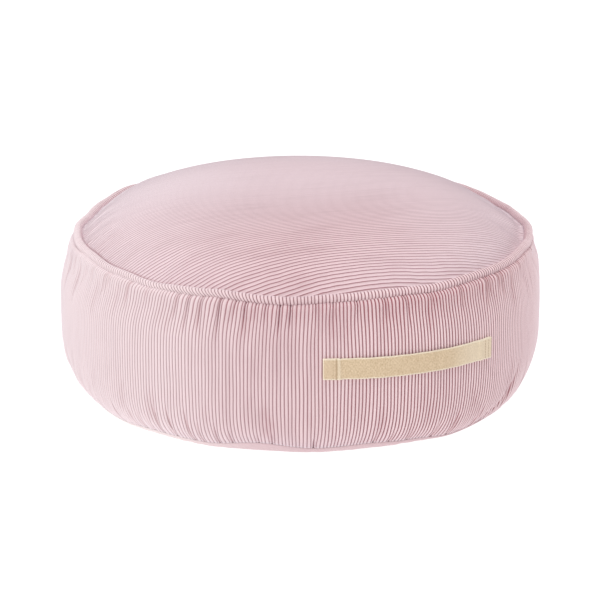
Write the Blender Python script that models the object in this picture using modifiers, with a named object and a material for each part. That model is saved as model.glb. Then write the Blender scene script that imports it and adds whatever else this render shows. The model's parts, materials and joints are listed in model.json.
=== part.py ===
"""Ribbed floor pouf: a round filled cushion with a piped top seam and a webbing carry handle.

Metres, +Z up. The pouf stands on z = 0 with its axis on Z, and the middle of the handle
faces -Y. A direction is an angle in degrees round the axis, counted from the handle's
middle and growing towards +X.
"""

import math

import bmesh
import bpy

# Driving dimensions
BAND_RADIUS = 0.280          # fullest part of the side band
BAND_HEIGHT_FULLEST = 0.111  # height of that fullest part
TOP_SEAM_RADIUS = 0.262      # centre line of the piping
TOP_SEAM_HEIGHT = 0.189
PIPING_RADIUS = 0.0046
LOWER_SEAM_RADIUS = 0.256
LOWER_SEAM_HEIGHT = 0.0163
FOOT_RADIUS = 0.222          # edge of the flat that rests on the floor
CROWN_RISE = 0.051           # crown above the top seam
STRAP_WIDTH = 0.025
STRAP_THICK = 0.0016
STRAP_SPAN = 43.8            # degrees round the band from end to end
STRAP_HEIGHT = 0.1125        # middle of the strap above the floor
STRAP_DROP = 0.006           # how much lower the +X end is sewn
STRAP_HEM = 0.017            # length turned under and sewn down at each end
STRAP_SLACK = 0.0014         # how far the middle of the strap stands off the band

# Fullness of the curves: a higher power gives a flatter middle and a rounder shoulder
CROWN_POWER = 4.85
BAND_UPPER_POWER = 2.17
BAND_SHOULDER_POWER = 1.84
BAND_LOWER_POWER = 4.6

# Fits
GAP = 0.00035                # clear space between two sewn pieces
NEST = 0.0062                # from the piping's centre line in to the seam behind it
TUCK = 0.003                 # from the same line in to where the band turns under the piping

# How the sewn seams wander: lift is upwards and push is outwards
SEAM_SHIFT = 0.0023          # the whole top panel sits this far off the axis
SEAM_SHIFT_DIRECTION = 63
BAND_OVAL = 0.0014           # the band is out of round by this much
BAND_OVAL_DIRECTION = 18
SEAM_HOLD = 0.012            # cloth this close to a seam follows it fully
SEAM_FADE = 0.055            # and has settled to its own shape this much further on

TOP_SEAM_WAVES = (
    # direction, lift, push
    (-170, 0.0010, 0.0000),
    (-153, 0.0042, 0.0020),
    (-143, 0.0008, 0.0000),
    (-129, -0.0012, -0.0030),
    (-119, -0.0005, -0.0005),
    (-112, 0.0000, -0.0020),
    (-103, 0.0030, -0.0042),
    (-92, 0.0035, -0.0036),
    (-84, 0.0025, -0.0016),
    (-73, 0.0015, 0.0000),
    (-66, -0.0030, 0.0005),
    (-57, -0.0014, 0.0000),
    (-47, 0.0008, 0.0000),
    (-31, -0.0025, 0.0003),
    (-17, 0.0000, 0.0000),
    (-6, 0.0012, 0.0000),
    (6, -0.0002, 0.0000),
    (18, 0.0020, 0.0000),
    (32, 0.0008, 0.0000),
    (44, 0.0012, -0.0004),
    (54, -0.0012, 0.0020),
    (64, 0.0010, 0.0034),
    (76, -0.0006, 0.0000),
    (90, -0.0020, -0.0005),
    (108, 0.0012, 0.0005),
    (126, -0.0010, -0.0005),
    (146, 0.0014, 0.0004),
    (166, -0.0012, 0.0000),
)

LOWER_SEAM_WAVES = (
    # direction, lift, push
    (-160, 0.0010, 0.0000),
    (-120, -0.0010, 0.0000),
    (-90, 0.0008, 0.0000),
    (-76, -0.0010, 0.0000),
    (-66, 0.0008, 0.0000),
    (-50, -0.0006, 0.0000),
    (-37, 0.0036, 0.0000),
    (-24, -0.0004, 0.0000),
    (-10, 0.0014, 0.0000),
    (2, 0.0003, 0.0000),
    (13, -0.0024, 0.0000),
    (34, 0.0006, 0.0000),
    (60, -0.0008, 0.0000),
    (95, 0.0014, 0.0000),
    (140, -0.0008, 0.0000),
)

# Fineness
STEPS_ROUND = 90
CROWN_ROWS = 11
BAND_UPPER_ROWS = 8
BAND_LOWER_ROWS = 7
BASE_ROWS = 4
PIPING_SIDES = 8
STRAP_ROWS_ALONG = 30
STRAP_ROWS_ACROSS = 4

COLLECTION = "ribbed_pouf"
CORDUROY_PINK = (0.72, 0.50, 0.52, 1.0)
BASE_PINK = (0.66, 0.46, 0.48, 1.0)
WEBBING_CREAM = (0.70, 0.58, 0.38, 1.0)

SEAM_EDGE_RADIUS = TOP_SEAM_RADIUS - NEST
SEAM_EDGE_HEIGHT = TOP_SEAM_HEIGHT - 0.001


def smooth(value):
    """Ease from 0 to 1."""
    value = min(max(value, 0.0), 1.0)
    return value * value * (3 - 2 * value)


def wander(waves, direction):
    """Lift and push of a seam at a direction, eased from one row to the next all the way round."""
    rows = [*waves, (waves[0][0] + 360, *waves[0][1:])]
    direction = (direction - rows[0][0]) % 360 + rows[0][0]
    for (start, *before), (end, *after) in zip(rows, rows[1:]):
        if start <= direction <= end:
            part = smooth((direction - start) / (end - start))
            return [a + (b - a) * part for a, b in zip(before, after)]
    return list(waves[0][1:])


def band_upper(part):
    """Band outline from its fullest line (part 0) up to where it turns under the piping (part 1)."""
    inner = TOP_SEAM_RADIUS - TUCK
    top = TOP_SEAM_HEIGHT - PIPING_RADIUS - GAP
    reach = (1 - part**BAND_UPPER_POWER) ** (1 / BAND_SHOULDER_POWER)
    radius = inner + (BAND_RADIUS - inner) * reach
    return radius, BAND_HEIGHT_FULLEST + (top - BAND_HEIGHT_FULLEST) * part


def band_lower(part):
    """Band outline from its fullest line (part 0) down to the lower seam (part 1)."""
    radius = LOWER_SEAM_RADIUS + (BAND_RADIUS - LOWER_SEAM_RADIUS) * (1 - part**BAND_LOWER_POWER)
    bottom = LOWER_SEAM_HEIGHT + GAP
    return radius, BAND_HEIGHT_FULLEST + (bottom - BAND_HEIGHT_FULLEST) * part


def band_radius_at(height):
    """Radius of the band's outline at a height between its seams."""
    if height >= BAND_HEIGHT_FULLEST:
        top = TOP_SEAM_HEIGHT - PIPING_RADIUS - GAP
        return band_upper((height - BAND_HEIGHT_FULLEST) / (top - BAND_HEIGHT_FULLEST))[0]
    bottom = LOWER_SEAM_HEIGHT + GAP
    return band_lower((BAND_HEIGHT_FULLEST - height) / (BAND_HEIGHT_FULLEST - bottom))[0]


def crown_outline():
    """Crown from the middle of the top out to the seam behind the piping."""
    points = []
    for row in range(CROWN_ROWS + 1):
        part = math.sin(math.pi / 2 * row / CROWN_ROWS)
        rise = CROWN_RISE * (1 - part**CROWN_POWER)
        points.append((SEAM_EDGE_RADIUS * part, SEAM_EDGE_HEIGHT + rise))
    return points


def band_outline():
    """Outer side of the band, from the seam behind the piping down to the lower seam."""
    points = [(SEAM_EDGE_RADIUS, SEAM_EDGE_HEIGHT - GAP)]
    for row in range(BAND_UPPER_ROWS + 1):
        points.append(band_upper(math.cos(math.pi / 2 * row / BAND_UPPER_ROWS)))
    for row in range(1, BAND_LOWER_ROWS + 1):
        points.append(band_lower(math.sin(math.pi / 2 * row / BAND_LOWER_ROWS)))
    return points


def base_outline():
    """Base panel from the lower seam, rolling down and in to the flat foot."""
    points = []
    for row in range(BASE_ROWS + 1):
        turn = math.pi / 2 * (1 - row / BASE_ROWS)
        radius = FOOT_RADIUS + (LOWER_SEAM_RADIUS - FOOT_RADIUS) * math.sin(turn)
        points.append((radius, LOWER_SEAM_HEIGHT * (1 - math.cos(turn))))
    return points


def closed_by(points, lid=(), floor=()):
    """Add the level cut across the filling above and below an outline, in to the axis."""
    above = [(0.0, points[0][1])] + [(points[0][0] * share, points[0][1]) for share in lid]
    below = [(points[-1][0] * share, points[-1][1]) for share in floor] + [(0.0, points[-1][1])]
    return (above if lid else []) + list(points) + (below if floor else [])


def nearness(distance):
    """How fully cloth follows a seam at a distance from it."""
    return 1 - smooth((distance - SEAM_HOLD) / SEAM_FADE)


def settle(point):
    """Move a point of the true round form to where the sewn, filled cushion has it."""
    x, y, z = point
    radius = math.hypot(x, y)
    if radius < 1e-6:
        return point
    angle = math.atan2(x, -y)
    direction = math.degrees(angle)
    top_hold = nearness(math.hypot(radius - TOP_SEAM_RADIUS, z - TOP_SEAM_HEIGHT))
    low_hold = nearness(math.hypot(radius - LOWER_SEAM_RADIUS, z - LOWER_SEAM_HEIGHT))
    top_lift, top_push = wander(TOP_SEAM_WAVES, direction)
    low_lift, low_push = wander(LOWER_SEAM_WAVES, direction)
    shift = SEAM_SHIFT * math.cos(math.radians(direction - SEAM_SHIFT_DIRECTION))
    oval = BAND_OVAL * math.cos(2 * math.radians(direction - BAND_OVAL_DIRECTION))
    outer = smooth(radius / FOOT_RADIUS)
    push = top_hold * (top_push + shift) + low_hold * low_push
    push += (1 - top_hold) * (1 - low_hold) * oval
    low_lift *= smooth(z / LOWER_SEAM_HEIGHT)
    radius += push * outer
    z += (top_hold * top_lift + low_hold * low_lift) * outer
    return radius * math.sin(angle), -radius * math.cos(angle), z


def place_in(collection, obj):
    """Keep an object in one collection only."""
    for other in obj.users_collection:
        other.objects.unlink(obj)
    collection.objects.link(obj)


def finish_with(obj, material):
    """Give a piece its material and smooth shading that keeps true edges."""
    obj.data.materials.clear()
    obj.data.materials.append(material)
    obj.data.shade_smooth()
    obj.data.set_sharp_from_angle(angle=math.radians(50))


def plain_material(name, colour, roughness):
    """A Principled material of one colour."""
    material = bpy.data.materials.new(name)
    material.use_nodes = True
    shader = material.node_tree.nodes["Principled BSDF"]
    shader.inputs["Base Color"].default_value = colour
    shader.inputs["Roughness"].default_value = roughness
    shader.inputs["Metallic"].default_value = 0.0
    material.diffuse_color = colour
    return material


def applied(obj):
    """Replace an object's mesh by its mesh with the modifiers applied."""
    shape = bpy.data.meshes.new_from_object(obj.evaluated_get(bpy.context.evaluated_depsgraph_get()))
    obj.modifiers.clear()
    obj.data = shape
    return obj


def turned(name, outline, collection):
    """Turn an outline in the XZ plane right round the Z axis."""
    profile = bpy.data.meshes.new(name)
    edges = [(i, i + 1) for i in range(len(outline) - 1)]
    profile.from_pydata([(radius, 0.0, height) for radius, height in outline], edges, [])
    obj = bpy.data.objects.new(name, profile)
    collection.objects.link(obj)
    screw = obj.modifiers.new("turn", "SCREW")
    screw.axis = "Z"
    screw.angle = math.tau
    screw.steps = STEPS_ROUND
    screw.render_steps = STEPS_ROUND
    screw.use_merge_vertices = True
    screw.merge_threshold = 0.0001
    return applied(obj)


def settle_mesh(obj):
    """Settle every point of a piece, then split its faces alike so that facing seams match."""
    for vertex in obj.data.vertices:
        vertex.co = settle(vertex.co)
    shape = bmesh.new()
    shape.from_mesh(obj.data)
    bmesh.ops.triangulate(shape, faces=shape.faces[:], quad_method="SHORT_EDGE")
    shape.to_mesh(obj.data)
    shape.free()


def make_panel(name, outline, material, collection):
    """One panel with the filling behind it."""
    obj = turned(name, outline, collection)
    settle_mesh(obj)
    finish_with(obj, material)
    return obj


def make_piping(material, collection):
    """The covered cord that lies in the groove of the top seam."""
    bpy.ops.mesh.primitive_torus_add(
        major_radius=TOP_SEAM_RADIUS,
        minor_radius=PIPING_RADIUS,
        major_segments=STEPS_ROUND,
        minor_segments=PIPING_SIDES,
        location=(0, 0, 0),
    )
    obj = bpy.context.object
    obj.name = "top_piping"
    obj.data.name = obj.name
    for vertex in obj.data.vertices:
        vertex.co.z += TOP_SEAM_HEIGHT
    place_in(collection, obj)
    settle_mesh(obj)
    finish_with(obj, material)
    return obj


def strap_point(along, across, clear):
    """Place on the strap, along and across from -0.5 to 0.5, this clear of the band."""
    direction = STRAP_SPAN * along
    height = STRAP_HEIGHT - STRAP_DROP * along + STRAP_WIDTH * across
    oval = BAND_OVAL * math.cos(2 * math.radians(direction - BAND_OVAL_DIRECTION))
    radius = band_radius_at(height) + oval + clear
    angle = math.radians(direction)
    return radius * math.sin(angle), -radius * math.cos(angle), height


def make_strap(material, collection):
    """The webbing handle: sewn flat at both ends, a little slack between them."""
    bpy.ops.mesh.primitive_grid_add(
        x_subdivisions=STRAP_ROWS_ALONG, y_subdivisions=STRAP_ROWS_ACROSS, size=1, location=(0, 0, 0)
    )
    obj = bpy.context.object
    obj.name = "carry_handle"
    obj.data.name = obj.name
    place_in(collection, obj)
    hem_share = STRAP_HEM / (BAND_RADIUS * math.radians(STRAP_SPAN))
    doubled = obj.vertex_groups.new(name="hem")
    for vertex in obj.data.vertices:
        along, across = vertex.co.x, vertex.co.y
        from_end = 0.5 - abs(along)
        free = smooth((from_end - hem_share) / (0.5 - hem_share) * 2)
        doubled.add([vertex.index], 1.0 if from_end <= hem_share else 0.5, "REPLACE")
        vertex.co = strap_point(along, across, GAP + STRAP_SLACK * free)
    wall = obj.modifiers.new("webbing", "SOLIDIFY")
    wall.thickness = 2 * STRAP_THICK
    wall.offset = 1.0
    wall.vertex_group = doubled.name
    wall.use_even_offset = True
    applied(obj)
    obj.vertex_groups.clear()
    finish_with(obj, material)
    return obj


def build():
    """Make the five sewn pieces of the pouf."""
    for obj in list(bpy.data.objects):
        bpy.data.objects.remove(obj)
    collection = bpy.data.collections.new(COLLECTION)
    bpy.context.scene.collection.children.link(collection)

    corduroy = plain_material("pink_corduroy", CORDUROY_PINK, 0.9)
    piping_cloth = plain_material("piping_corduroy", CORDUROY_PINK, 0.9)
    band_cloth = plain_material("band_corduroy", CORDUROY_PINK, 0.9)
    base_cloth = plain_material("base_cloth", BASE_PINK, 0.9)
    webbing = plain_material("cream_webbing", WEBBING_CREAM, 0.8)

    make_panel("top_panel", closed_by(crown_outline(), floor=(0.8,)), corduroy, collection)
    make_panel("side_band", closed_by(band_outline(), (0.8,), (0.8,)), band_cloth, collection)
    make_panel("base_panel", closed_by(base_outline(), (0.8,), (0.5,)), base_cloth, collection)
    make_piping(piping_cloth, collection)
    make_strap(webbing, collection)


build()
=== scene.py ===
# %% [markdown]
# # A ribbed floor pouf
#
# The pouf is a round cushion sewn from three panels and filled hard with loose fibre. The
# top panel and the side band are cut from corduroy, a cloth whose pile stands in cords
# called wales. The base panel is a plain cloth. A cord covered with the same corduroy,
# the piping, lies in the top seam, and a webbing handle is sewn to the band. The lesson
# fills the cushion with a cloth simulation, reads its puckers, lays real wales over the
# filled form, and ends with the finishes and the light.
#
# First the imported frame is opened. It gives one node for each sewn piece, at its place.

# %% Open the frame
import json
import math

import bpy
import numpy as np
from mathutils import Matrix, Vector
from mathutils.bvhtree import BVHTree

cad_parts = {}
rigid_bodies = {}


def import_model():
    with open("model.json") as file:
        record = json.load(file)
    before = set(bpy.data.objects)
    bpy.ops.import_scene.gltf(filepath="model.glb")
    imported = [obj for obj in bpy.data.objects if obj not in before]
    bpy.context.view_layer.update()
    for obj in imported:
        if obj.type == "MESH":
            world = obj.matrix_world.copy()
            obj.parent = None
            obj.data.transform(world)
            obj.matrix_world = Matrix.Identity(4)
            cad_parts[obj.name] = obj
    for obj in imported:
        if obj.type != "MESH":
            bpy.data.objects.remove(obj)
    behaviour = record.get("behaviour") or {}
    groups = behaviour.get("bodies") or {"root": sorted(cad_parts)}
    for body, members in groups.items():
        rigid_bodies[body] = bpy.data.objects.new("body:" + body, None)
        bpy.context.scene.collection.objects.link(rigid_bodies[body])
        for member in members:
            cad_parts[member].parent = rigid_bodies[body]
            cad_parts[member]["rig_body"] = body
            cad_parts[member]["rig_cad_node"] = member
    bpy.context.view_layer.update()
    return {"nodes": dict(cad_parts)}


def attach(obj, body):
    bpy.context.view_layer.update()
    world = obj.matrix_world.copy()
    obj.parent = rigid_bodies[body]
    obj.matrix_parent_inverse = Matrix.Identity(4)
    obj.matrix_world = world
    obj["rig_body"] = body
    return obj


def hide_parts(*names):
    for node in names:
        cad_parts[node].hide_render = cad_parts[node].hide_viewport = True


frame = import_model()
print("nodes:", ", ".join(sorted(frame["nodes"])))

# %% [markdown]
# ## Measures
#
# Everything is in metres. A direction is an angle in degrees round the upright axis,
# counted from the middle of the handle, which faces -Y, and growing towards +X. The
# outlines of the crown and of the band are powers of the distance along them: a higher
# power gives a flatter middle and a rounder shoulder, which is how a filled panel looks.

# %% Measures of the sewn cushion
TOP_SEAM_RADIUS = 0.262
TOP_SEAM_HEIGHT = 0.189
PIPING_RADIUS = 0.0046
CORD_RADIUS = 0.0051
CORD_DROP = 0.0005
BAND_RADIUS = 0.280
FULLEST = 0.111
LOWER_SEAM_RADIUS = 0.256
LOWER_SEAM_HEIGHT = 0.0163
FOOT_RADIUS = 0.222
CROWN_RISE = 0.0502
EDGE_RADIUS = TOP_SEAM_RADIUS - 0.0054
EDGE_HEIGHT = TOP_SEAM_HEIGHT - 0.001
TUCKED = TOP_SEAM_RADIUS - 0.003
GAP = 0.00035
BAND_TOP = TOP_SEAM_HEIGHT - PIPING_RADIUS - GAP
BAND_BOTTOM = LOWER_SEAM_HEIGHT + GAP
SEAM_HOLD, SEAM_FADE = 0.012, 0.055
BAND_OVAL, BAND_OVAL_DIRECTION = 0.0014, 18


def eased(part):
    """Ease from 0 to 1."""
    part = np.clip(part, 0.0, 1.0)
    return part * part * (3 - 2 * part)


def bell(off, reach):
    """1 in the middle, fading to nothing on both sides past this reach."""
    return np.exp(-((off / reach) ** 2))


def from_table(table, direction):
    """Value of a short closed table at each direction, eased from row to row."""
    table = np.array(table, float)
    off = np.mod(np.asarray(direction) + 180, 360) - 180
    row = np.clip(np.searchsorted(table[:, 0], off, side="right") - 1, 0, len(table) - 2)
    part = eased((off - table[row, 0]) / (table[row + 1, 0] - table[row, 0]))
    return table[row, 1] + (table[row + 1, 1] - table[row, 1]) * part


def lengths_along(points):
    """Distance of each point of an outline from its first one."""
    steps = np.hypot(*np.diff(points, axis=0).T)
    return np.concatenate([[0.0], np.cumsum(steps)])


def crown_outline():
    """Radius and height from the middle of the top out to the seam."""
    part = np.sin(np.linspace(0, math.pi / 2, 400))
    return np.stack([EDGE_RADIUS * part, EDGE_HEIGHT + CROWN_RISE * (1 - part**4.85)], 1)


def band_outline():
    """Radius and height from under the piping down to the lower seam."""
    upper = np.sin(np.linspace(math.pi / 2, 0, 300))
    lower = np.sin(np.linspace(0, math.pi / 2, 300))[1:]
    shoulder = TUCKED + (BAND_RADIUS - TUCKED) * (1 - upper**2.17) ** (1 / 1.84)
    side = LOWER_SEAM_RADIUS + (BAND_RADIUS - LOWER_SEAM_RADIUS) * (1 - lower**4.6)
    above = np.stack([shoulder, FULLEST + (BAND_TOP - FULLEST) * upper], 1)
    below = np.stack([side, FULLEST + (BAND_BOTTOM - FULLEST) * lower], 1)
    return np.concatenate([above, below])


def base_outline():
    """Radius and height from the lower seam, rolling under to the edge of the foot."""
    turn = np.linspace(math.pi / 2, 0, 60)
    radius = FOOT_RADIUS + (LOWER_SEAM_RADIUS - FOOT_RADIUS) * np.sin(turn)
    return np.stack([radius, LOWER_SEAM_HEIGHT * (1 - np.cos(turn)) ** 0.72], 1)


print("cloth from seam to seam over the band:", round(lengths_along(band_outline())[-1], 3), "m")

# %% [markdown]
# ## Where the seams run
#
# A hand-guided seam is never a true circle: it lifts, drops and bows as the cloth is eased
# in. The frame's piping and base panel already wander like this, so the two seam lines are
# read from their rings and joined by a sum of waves, which is smooth and closes on itself.
# Four short tables then ease the seams a little more. The top one dips and bends out at one
# side; the lower one sinks where the band rolls right under the cushion, and is drawn in
# at the two sides. Cloth near a seam follows it and further off settles to the round form.

# %% Read the seam lines from the frame
RING_STEP, FIRST_RING = 4, 2
TOP_SEAM_EASE = (
    # direction, lift
    (-180, 0), (-112, 0), (-95, -0.0036), (-82, -0.0034), (-62, 0), (-2, 0), (14, -0.0012),
    (34, -0.0012), (52, 0), (76, 0), (94, 0.0016), (118, 0), (180, 0),
)
TOP_SEAM_BOW = (
    # direction, how far the seam is pushed outwards
    (-180, 0), (-114, 0), (-103, 0.003), (-93, 0), (40, 0), (62, -0.0018), (84, 0), (180, 0),
)
LOWER_SEAM_EASE = (
    # direction, lift
    (-180, 0), (-115, 0), (-88, -0.0034), (-70, -0.0026), (-52, -0.0018), (-38, 0), (-20, -0.0012),
    (-10, -0.001), (0, -0.0026), (15, -0.0052), (40, -0.0065), (62, -0.0045), (95, -0.001),
    (120, 0), (180, 0),
)
LOWER_SEAM_DRAW = (
    # direction, how far the seam is drawn outwards
    (-180, 0), (-150, 0), (-122, -0.003), (-100, -0.002), (-85, 0), (35, 0), (50, -0.0045),
    (64, -0.007), (90, -0.004), (115, 0), (180, 0),
)


def node_points(name):
    """The separate points of a frame node."""
    node = frame["nodes"][name]
    places = np.array([(node.matrix_world @ vertex.co)[:] for vertex in node.data.vertices])
    return np.unique(np.round(places, 6), axis=0)


def direction_of(points):
    """Direction of each point round the axis, in degrees."""
    return np.degrees(np.arctan2(points[..., 0], -points[..., 1]))


def ring_middles(points):
    """Mean radius and height of the points of each ring."""
    ring = np.round((direction_of(points) - FIRST_RING) / RING_STEP).astype(int) % (360 // RING_STEP)
    count = np.bincount(ring)
    radius = np.bincount(ring, np.hypot(points[:, 0], points[:, 1])) / count
    return radius, np.bincount(ring, points[:, 2]) / count


def closed_line(values):
    """A smooth closed line through one value a ring, as a function of direction."""
    waves = np.fft.rfft(values) / len(values)

    def at(direction):
        turn = np.radians(np.asarray(direction) - FIRST_RING)
        total = np.full(turn.shape, waves[0].real)
        for order in range(1, 32):
            wave = waves[order]
            total = total + 2 * (wave.real * np.cos(order * turn) - wave.imag * np.sin(order * turn))
        return total

    return at


top_ring, top_line = map(closed_line, ring_middles(node_points("top_piping")))
rim = node_points("base_panel")
rim = rim[np.hypot(rim[:, 0], rim[:, 1]) > LOWER_SEAM_RADIUS - 0.0015]
low_radius, low_line = map(closed_line, ring_middles(rim))


def top_radius(direction):
    """Radius of the top seam."""
    return top_ring(direction) + from_table(TOP_SEAM_BOW, direction)


def top_height(direction):
    """Height of the top seam."""
    return top_line(direction) + from_table(TOP_SEAM_EASE, direction)


def low_height(direction):
    """Height of the lower seam."""
    return low_line(direction) + from_table(LOWER_SEAM_EASE, direction)


def settled(direction, radius, height):
    """Where the sewn, filled cushion has a point of the true round form."""
    from_top = np.hypot(radius - TOP_SEAM_RADIUS, height - TOP_SEAM_HEIGHT)
    from_low = np.hypot(radius - LOWER_SEAM_RADIUS, height - LOWER_SEAM_HEIGHT)
    top_hold = 1 - eased((from_top - SEAM_HOLD) / SEAM_FADE)
    low_hold = 1 - eased((from_low - SEAM_HOLD) / SEAM_FADE)
    oval = BAND_OVAL * np.cos(2 * np.radians(direction - BAND_OVAL_DIRECTION))
    outer = eased(radius / FOOT_RADIUS)
    push = top_hold * (top_radius(direction) - TOP_SEAM_RADIUS)
    drawn_in = from_table(LOWER_SEAM_DRAW, direction)
    push = push + low_hold * (low_radius(direction) - LOWER_SEAM_RADIUS + drawn_in)
    push = push + (1 - top_hold) * (1 - low_hold) * oval
    lift = top_hold * (top_height(direction) - TOP_SEAM_HEIGHT)
    low_lift = (low_height(direction) - LOWER_SEAM_HEIGHT) * eased(height / LOWER_SEAM_HEIGHT)
    return radius + push * outer, height + (lift + low_hold * low_lift) * outer


every = np.arange(0, 360, 1.0)
print("top seam wanders", round(1000 * float(np.ptp(top_height(every))), 1), "mm up and down")

# %% [markdown]
# ## Fill the cushion
#
# A filled cushion could be carved by hand, but its puckers come from one cause: more cloth
# than the seam has room for, pushed out from inside. Blender's cloth does that well. The
# three panels are joined and remeshed into one skin, the skin is given a little extra
# cloth (a negative shrink), its seams and foot are held, and pressure fills it for
# twenty frames without gravity. No point may move further than a cap. The filled form is
# a helper: the pieces below read their puckers from it, and it is removed afterwards.

# %% Simulate the filling
VOXEL = 0.005
CLOTH_SETTINGS = {
    "quality": 5,
    "mass": 0.15,
    "tension_stiffness": 15,
    "compression_stiffness": 15,
    "shear_stiffness": 5,
    "bending_stiffness": 0.5,
    "use_pressure": True,
    "uniform_pressure_force": 4.0,
    "shrink_min": -0.03,
}
MOST_MOVED = 0.028
LAST_FRAME = 20
HELD_RING, HELD_HEIGHT = 0.2575, 0.186
HELD_TOP, HELD_LOW, HELD_FOOT = 0.0065, 0.005, 0.006


def select_only(*objects):
    """Deselect everything, then select these objects."""
    bpy.ops.object.select_all(action="DESELECT")
    for obj in objects:
        obj.select_set(True)
    bpy.context.view_layer.objects.active = objects[0]


def joined_panels():
    """One object with a copy of the three filled panels."""
    copies = []
    for name in ("top_panel", "side_band", "base_panel"):
        copied = frame["nodes"][name].copy()
        copied.data = copied.data.copy()
        copied.parent = None
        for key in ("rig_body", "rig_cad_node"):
            del copied[key]
        bpy.context.scene.collection.objects.link(copied)
        copies.append(copied)
    select_only(*copies)
    bpy.ops.object.join()
    skin = bpy.context.object
    skin.name = "filling_form"
    return skin


def places_of(obj):
    """The points of an object's mesh as it is now, modifiers included."""
    shown = obj.evaluated_get(bpy.context.evaluated_depsgraph_get()).data
    places = np.empty(len(shown.vertices) * 3, np.float32)
    shown.vertices.foreach_get("co", places)
    return places.reshape(-1, 3).astype(float)


def filled_form():
    """The skin of the cushion, filled, as a tree that rays can be cast on."""
    skin = joined_panels()
    remesh = skin.modifiers.new("one_skin", "REMESH")
    remesh.mode = "VOXEL"
    remesh.voxel_size = VOXEL
    bpy.ops.object.modifier_apply(modifier=remesh.name)
    before = places_of(skin)
    radius = np.hypot(before[:, 0], before[:, 1])
    held = np.hypot(radius - HELD_RING, before[:, 2] - HELD_HEIGHT) < HELD_TOP
    held |= np.hypot(radius - LOWER_SEAM_RADIUS, before[:, 2] - LOWER_SEAM_HEIGHT) < HELD_LOW
    held |= before[:, 2] < HELD_FOOT
    hold = skin.vertex_groups.new(name="hold")
    hold.add([int(index) for index in np.nonzero(held)[0]], 1.0, "REPLACE")
    after = before
    cloth = skin.modifiers.new("filling", "CLOTH")
    for key, value in CLOTH_SETTINGS.items():
        setattr(cloth.settings, key, value)
    cloth.settings.effector_weights.gravity = 0
    cloth.settings.vertex_group_mass = hold.name
    cloth.point_cache.frame_start = 1
    cloth.point_cache.frame_end = LAST_FRAME
    cloth.collision_settings.use_collision = False
    for moment in range(1, LAST_FRAME + 1):
        bpy.context.scene.frame_set(moment)
    moved = places_of(skin) - before
    size = np.linalg.norm(moved, axis=1, keepdims=True)
    after = before + moved * np.minimum(1, MOST_MOVED / np.maximum(size, 1e-9))
    print("the filling moved the cloth by up to", round(1000 * float(size.max()), 1), "mm")
    skin.modifiers.remove(cloth)
    bpy.context.scene.frame_set(1)
    faces = [tuple(face.vertices) for face in skin.data.polygons]
    tree = BVHTree.FromPolygons(after.tolist(), faces)
    bpy.data.objects.remove(skin)
    return tree


filling = filled_form()
print("filled form ready")

# %% [markdown]
# ## Read the puckers
#
# The simulation makes the cushion fuller all over and gathers it along the seams. The
# fullness is already in the outlines, so only the fine part is wanted. Rays are cast at the
# filled form from outside, on a regular grid, and the slow part of the answer, what
# changes over more than a few degrees, is taken away with a Fourier transform.

# %% Cast rays at the filled form
ROUND_STEPS = 900
READ_STEPS = 56
RAY_START = 0.045
CAP = 0.0032
CROWN_READ_FROM = 200


def normals_of(outline):
    """Outward radius and height parts of the normal along an outline."""
    step = np.gradient(outline, axis=0)
    step = step / np.hypot(*step.T)[:, None]
    return np.stack([-step[:, 1], step[:, 0]], 1)


def round_places(direction, radius, height):
    """Points in space from directions, radii and heights."""
    turn = np.radians(direction)
    height = np.broadcast_to(height, np.broadcast_shapes(turn.shape, radius.shape))
    return np.stack([radius * np.sin(turn), -radius * np.cos(turn), height], -1)


def fine_part(grid, fullness):
    """A grid of rows round the axis without what changes over more than this many degrees."""
    waves = np.fft.rfft(grid, axis=1)
    order = np.arange(waves.shape[1])
    keep = 1 - np.exp(-((order * math.radians(fullness)) ** 2) / 2)
    return np.fft.irfft(waves * keep, n=grid.shape[1], axis=1)


def outline_at(outline, along, wanted):
    """Radius, height and both parts of the normal where a measure along an outline is met."""
    columns = (*outline.T, *normals_of(outline).T)
    return [np.interp(wanted, along, column) for column in columns]


def puckers_on(outline, outwards, fullness):
    """Height of the simulated puckers on an outline: distances along it, and a grid of rows."""
    along = lengths_along(outline)
    wanted = np.linspace(0, along[-1], READ_STEPS)
    radius, height, across, upwards = outline_at(outline, along, wanted[:, None])
    across, upwards = across * outwards, upwards * outwards
    direction = np.arange(ROUND_STEPS)[None] * 360 / ROUND_STEPS
    radius, height = settled(direction, radius + 0 * direction, height + 0 * direction)
    start = round_places(direction, radius + RAY_START * across, height + RAY_START * upwards)
    aim = round_places(direction, -across + 0 * direction, -upwards)
    grid = np.zeros(radius.shape)
    for row, column in np.ndindex(grid.shape):
        place, heading = Vector(start[row, column]), Vector(aim[row, column])
        hit = filling.ray_cast(place, heading, 2 * RAY_START)
        if hit[0] is not None:
            grid[row, column] = RAY_START - hit[3]
    return wanted, np.clip(fine_part(grid, fullness), -CAP, CAP)


def read_grid(wanted, grid, direction, distance):
    """Value of a grid between its rows and columns."""
    column = np.mod(direction, 360) / 360 * grid.shape[1]
    left = np.floor(column).astype(int)
    share = column - left
    row = np.interp(distance, wanted, np.arange(len(wanted)))
    above = np.minimum(np.floor(row).astype(int), len(wanted) - 2)
    part = row - above
    left, right = left % grid.shape[1], (left + 1) % grid.shape[1]
    upper = grid[above, left] * (1 - share) + grid[above, right] * share
    lower = grid[above + 1, left] * (1 - share) + grid[above + 1, right] * share
    return upper * (1 - part) + lower * part


band_puckers = puckers_on(band_outline(), 1, 4.5)
crown_puckers = puckers_on(crown_outline()[CROWN_READ_FROM:], -1, 6)
print("band puckers, deepest:", round(1000 * float(band_puckers[1].min()), 1), "mm")
print("crown puckers, deepest:", round(1000 * float(crown_puckers[1].min()), 1), "mm")

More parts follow.
